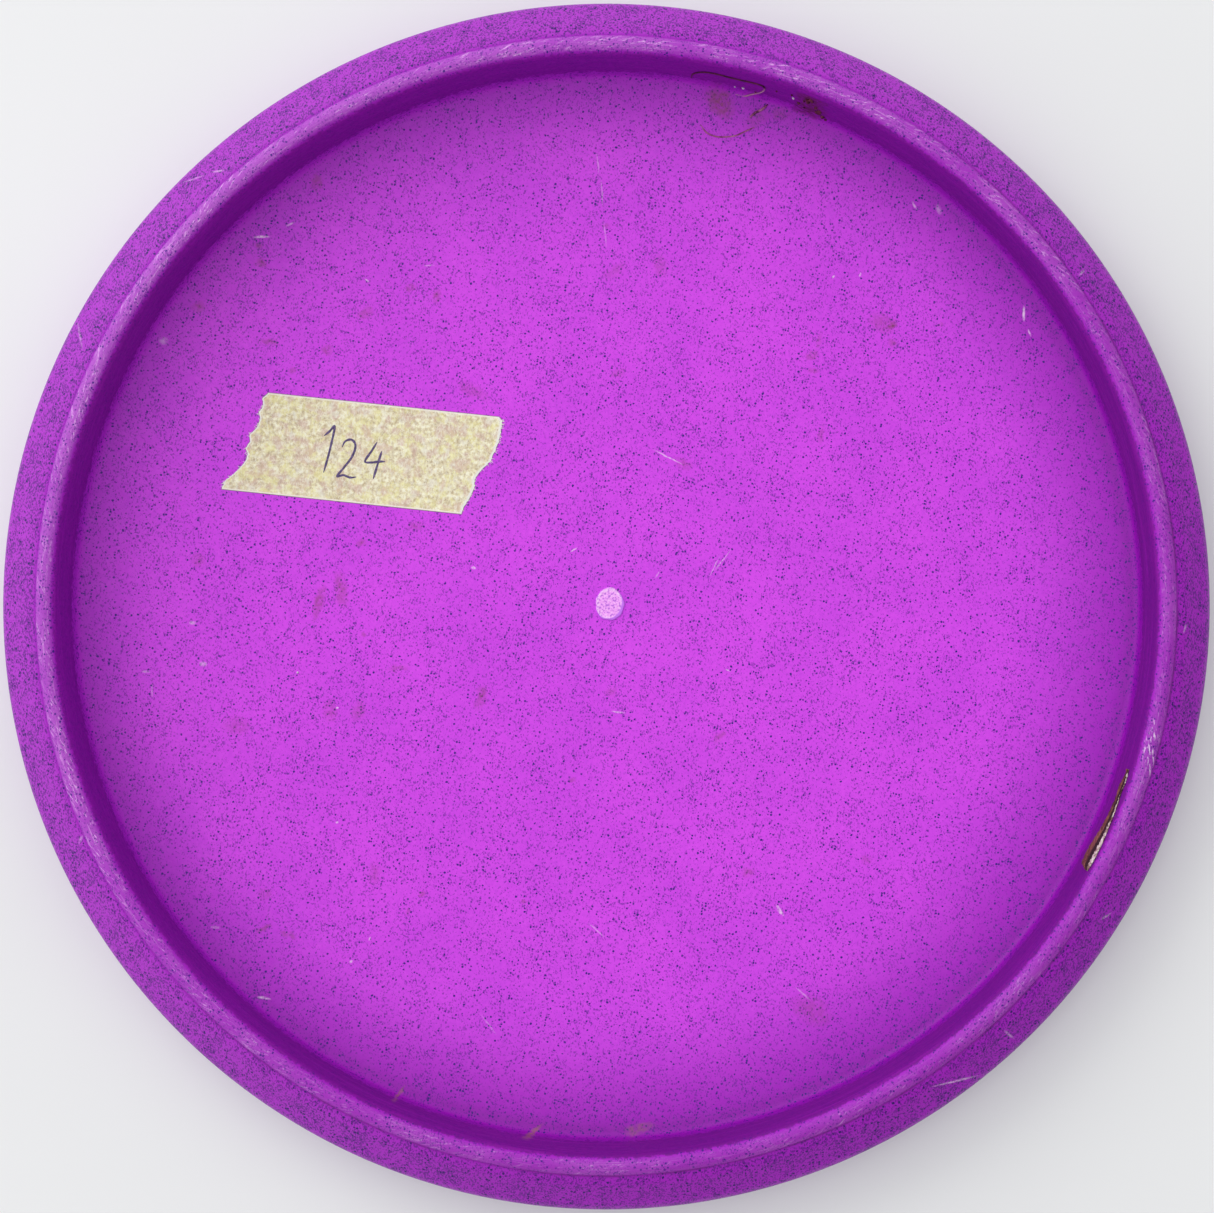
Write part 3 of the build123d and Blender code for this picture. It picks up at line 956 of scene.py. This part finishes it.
def make_root_loop():
    """A thin root that loops up the inner wall and ends on the plate beside it."""
    places = [(81.2, 7.5), (81.0, 10.6), (80.0, 12.8), (78.7, 13.3), (77.5, 13.0), (76.3, 12.9), (75.2, 13.1)]
    places += [(74.2, 13.3), (73.4, 12.9), (73.2, 11.0), (73.6, 8.2), (74.3, 6.0)]
    knots = [on_wall(turn, height) for turn, height in places]
    knots += [on_plate(24.2, 91.5), on_plate(22.6, 91.8)]
    add_strands("root_loop", [knots], 0.30 * MM, 0.26 * MM, root_fibre())


def make_twig():
    """A short curved twig on the plate, near the wall."""
    places = [(25.2, 87.8), (26.2, 88.6), (27.3, 89.1), (28.4, 90.0)]
    knots = [on_plate(*place, gap=0.15) for place in places]
    add_strands("twig", [knots], 0.42 * MM, 0.38 * MM, straw_fibre())


def make_straw():
    """A bent straw fibre on the plate, below the root."""
    places = [(16.3, 86.6), (17.4, 85.2), (19.0, 84.5), (20.7, 84.4), (22.6, 84.6), (24.5, 85.4)]
    places.append((26.1, 86.1))
    knots = [on_plate(*place) for place in places]
    add_strands("straw_fibre", [knots], 0.28 * MM, 0.2 * MM, straw_fibre())


def bark():
    """Bark: a red-brown inner face, a dark split and a pale, frayed ridge."""
    s = Shader("dry_bark", roughness=0.8, specular=0.25)
    place = s.place()
    grain = s.noise(s.turned(place, turn=(0, 0, radians(24)), scale=(1, 0.25, 1)), 1600, detail=4.0)
    brown = [(0.35, (0.08, 0.022, 0.026)), (0.6, (0.24, 0.075, 0.06)), (0.75, (0.36, 0.15, 0.11))]
    beige = [(0.38, (0.12, 0.05, 0.06)), (0.48, (0.58, 0.42, 0.42)), (0.66, (0.88, 0.78, 0.78))]
    face, pale = s.ramp(grain, brown), s.ramp(grain, beige)
    colour = s.mix(s.span(s.attribute("split"), 0.3, 0.8), face, (0.035, 0.010, 0.018))
    broken = s.span(s.noise(place, 900, detail=3.0), 0.36, 0.5, 0.25, 1.0)
    colour = s.mix(s.both(s.span(s.attribute("ridge"), 0.4, 0.7), broken), colour, pale)
    return s.made(colour, grain, 0.15 * MM)


def make_bark_sliver():
    """A thin sliver of bark stuck to the inner wall, just under the bead, widest towards its lower end."""
    # Along the sliver: (angle on the wall in degrees, height of its top and of its foot in mm)
    stations = [
        (-17.8, 16.4, 16.0), (-18.7, 16.9, 16.0), (-19.5, 16.9, 14.9), (-20.4, 16.6, 15.5),
        (-21.7, 17.1, 16.0), (-23.0, 17.3, 16.0), (-24.3, 17.4, 15.6), (-25.4, 17.5, 14.8),
        (-26.6, 17.5, 13.8), (-27.8, 17.5, 13.3), (-28.7, 17.5, 14.4), (-29.3, 17.4, 16.6),
    ]
    stations = [Vector(station) for station in stations]
    # Round the loop: (share of the way up, gap from the wall in mm, split, ridge)
    loop = [
        (0.0, 0.80, 0, 0), (0.2, 1.15, 0, 0), (0.45, 1.0, 0, 0), (0.62, 0.85, 0.3, 0),
        (0.72, 0.62, 1, 0), (0.84, 0.36, 1, 0.0), (0.93, 0.42, 0.2, 0.8), (1.02, 0.38, 0, 1),
        (1.08, 0.20, 0, 0.8), (1.03, 0.05, 0.6, 0), (0.5, 0.03, 0, 0), (0.05, 0.03, 0, 0),
    ]
    points, split, ridge = [], [], []
    route = smooth_route(stations, 8)
    for i, (turn, top, foot) in enumerate(route):
        progress = i / (len(route) - 1)
        taper = min(1.0, 0.3 + 10 * (1 - progress)) * mixed(0.4, 0.9, eased(0.0, 0.8, progress))
        for k, (share, gap, split_share, ridge_share) in enumerate(loop):
            fray = (0.20 + 0.24 * ridge_share) * rough(i * 1.15, k * 0.9, 0, 31)
            height = mixed(foot, top, share) + fray
            frayed_gap = max(0.02, gap * taper + fray * (gap > 0.1))
            points.append(on_wall(turn, height, frayed_gap)[0])
            split.append(split_share)
            ridge.append(ridge_share)
    # The loop runs the other way round from the other rings, so its faces are turned over
    faces = [(a, d, c, b) for a, b, c, d in ring_quads(len(route), len(loop))]
    faces += [cap[::-1] for cap in end_caps(len(route), len(loop))]
    sliver = add_mesh("bark_sliver", points, faces, bark(), split=split, ridge=ridge)
    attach(sliver, "root")


def mud():
    """Dried mud, dark and crumbly."""
    s = Shader("dried_mud", roughness=0.9, specular=0.2)
    crumbs = s.noise(s.place(), 1800, detail=4.0)
    tones = [(0.35, (0.05, 0.004, 0.022)), (0.55, (0.13, 0.018, 0.055)), (0.75, (0.26, 0.06, 0.12))]
    return s.made(s.ramp(crumbs, tones), crumbs, 0.15 * MM)


def grit():
    """Pale grains of sand."""
    s = Shader("pale_grit", roughness=0.6, specular=0.4)
    tone = s.noise(s.place(), 2600)
    return s.made(s.ramp(tone, [(0.35, (0.55, 0.36, 0.55)), (0.6, (0.86, 0.74, 0.84))]), tone, 0.08 * MM)


def add_crumbs(name, crumbs, material):
    """One piece of several rough lumps, each given as (place, size in mm)."""
    mesh = bmesh.new()
    for seed, ((place, _), size) in enumerate(crumbs):
        lump = bmesh.ops.create_icosphere(mesh, subdivisions=3, radius=size / 2 * MM)
        for point in lump["verts"]:
            dent = 1 + 0.45 * rough(*(point.co / MM * 1.9 / size), seed)
            point.co = point.co * dent * 0.9 + place
    mesh.verts.index_update()
    faces = [[point.index for point in face.verts] for face in mesh.faces]
    piece = add_mesh(name, [point.co for point in mesh.verts], faces, material)
    mesh.free()
    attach(piece, "root")


def make_crumbs():
    """Mud crumbs in a patch on the wall, and a few grains of grit, as (angle in degrees, height, size)."""
    lumps = [(69.3, 9.9, 0.7), (68.8, 12.4, 0.5), (68.5, 14.0, 0.9), (68.2, 14.5, 0.8), (67.95, 14.0, 0.7)]
    lumps += [(68.35, 12.9, 0.9), (67.4, 10.8, 0.6), (66.9, 9.3, 1.1), (67.2, 8.7, 0.8), (68.6, 8.3, 0.4)]
    lumps += [(71.9, 12.3, 0.4), (70.2, 13.3, 0.45), (66.4, 7.2, 0.9), (66.0, 6.4, 0.6), (74.1, 7.6, 0.45)]
    crumbs = [(on_wall(turn, height, 0.05), size) for turn, height, size in lumps]
    add_crumbs("mud_crumbs", crumbs, mud())
    grits = [(75.5, 8.0, 0.55), (70.0, 11.7, 0.5), (76.4, 7.4, 0.3)]
    grains = [(on_wall(turn, height, 0.05), size) for turn, height, size in grits]
    grains.append((on_plate(-56, -12.3, 0.05), 0.35))
    add_crumbs("grit_grains", grains, grit())


bpy.context.scene.view_settings.view_transform = "Standard"
add_camera()
add_lights()
add_floor()
make_disc()
make_tape()
make_torn_fibres()
make_pen_number()
make_root_loop()
make_twig()
make_straw()
make_bark_sliver()
make_crumbs()
